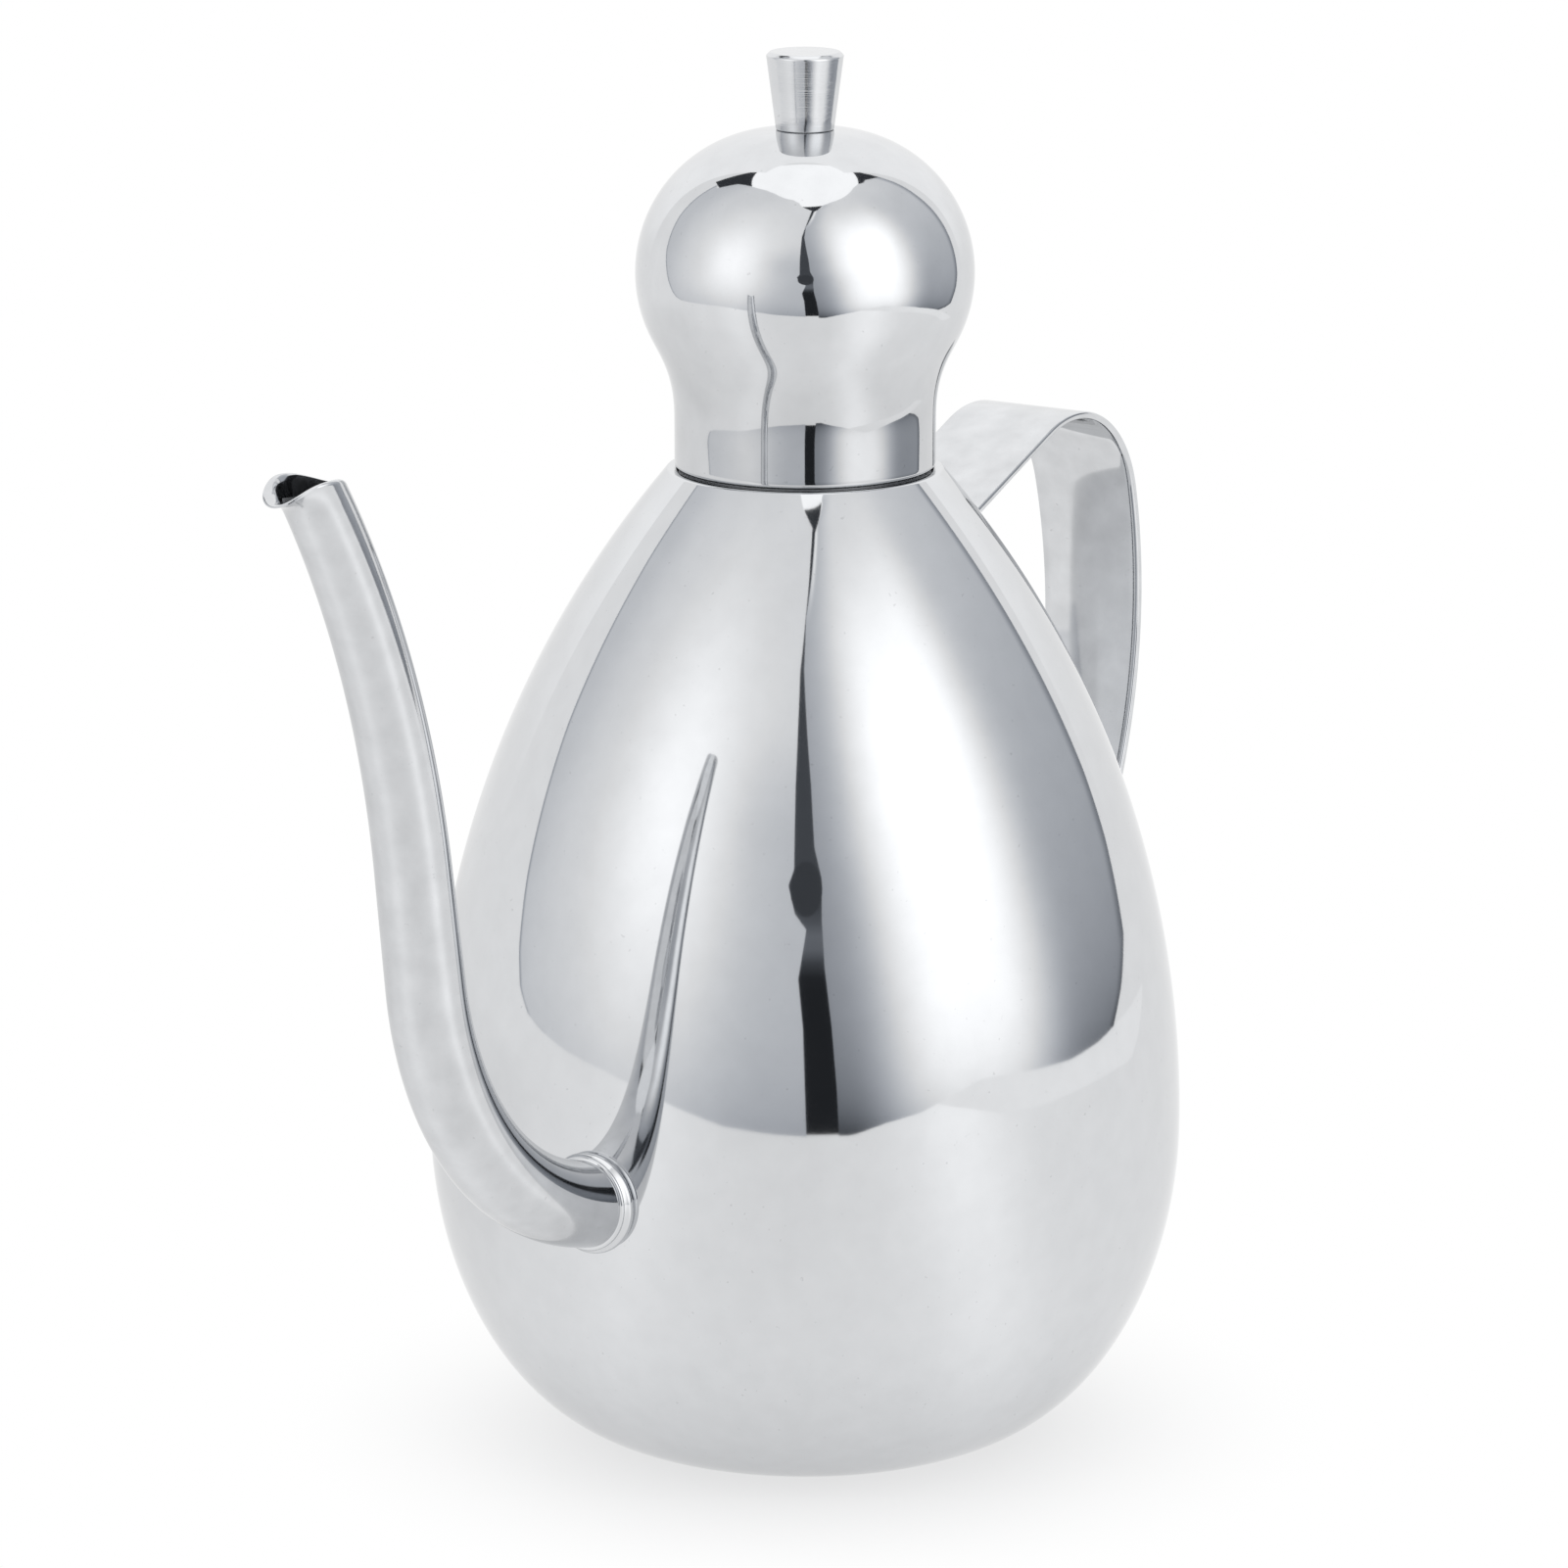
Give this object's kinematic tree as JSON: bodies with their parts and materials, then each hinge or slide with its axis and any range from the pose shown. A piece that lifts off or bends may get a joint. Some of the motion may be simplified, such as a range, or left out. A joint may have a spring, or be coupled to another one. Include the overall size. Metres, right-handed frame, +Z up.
{
  "type": "long spout pouring pot",
  "caption": "Pear-shaped polished steel pot with a slim curved spout, a bent strap handle and a lift-off ball-topped lid, for pouring oil, sauce or hot water in a thin stream.",
  "frame": {"origin": "centre of the ring the pot stands on, on the pot's own axis", "axes": "+X towards the spout, -X towards the handle, +Z up along the pot's axis"},
  "size_m": [0.1954, 0.103, 0.1909],
  "materials": {
    "polished_steel": "mirror polished stainless steel",
    "spout_steel": "buffed stainless steel, a little duller than the body",
    "satin_steel": "satin stainless steel"
  },
  "bodies": {
    "pot": {"body_shell": "polished_steel", "base_plate": "satin_steel", "neck_collar": "polished_steel", "spout_tube": "spout_steel", "spout_bead": "polished_steel", "handle_strap": "satin_steel"},
    "lid": {"lid_shell": "polished_steel", "lid_sleeve": "satin_steel", "lid_knob": "polished_steel", "knob_washer": "satin_steel", "knob_screw": "satin_steel"}
  },
  "joints": [
    {"name": "lid_lift", "type": "slide", "parent": "pot", "child": "lid", "axis": [0, 0, 1], "range_m": [0, 0.06]}
  ]
}
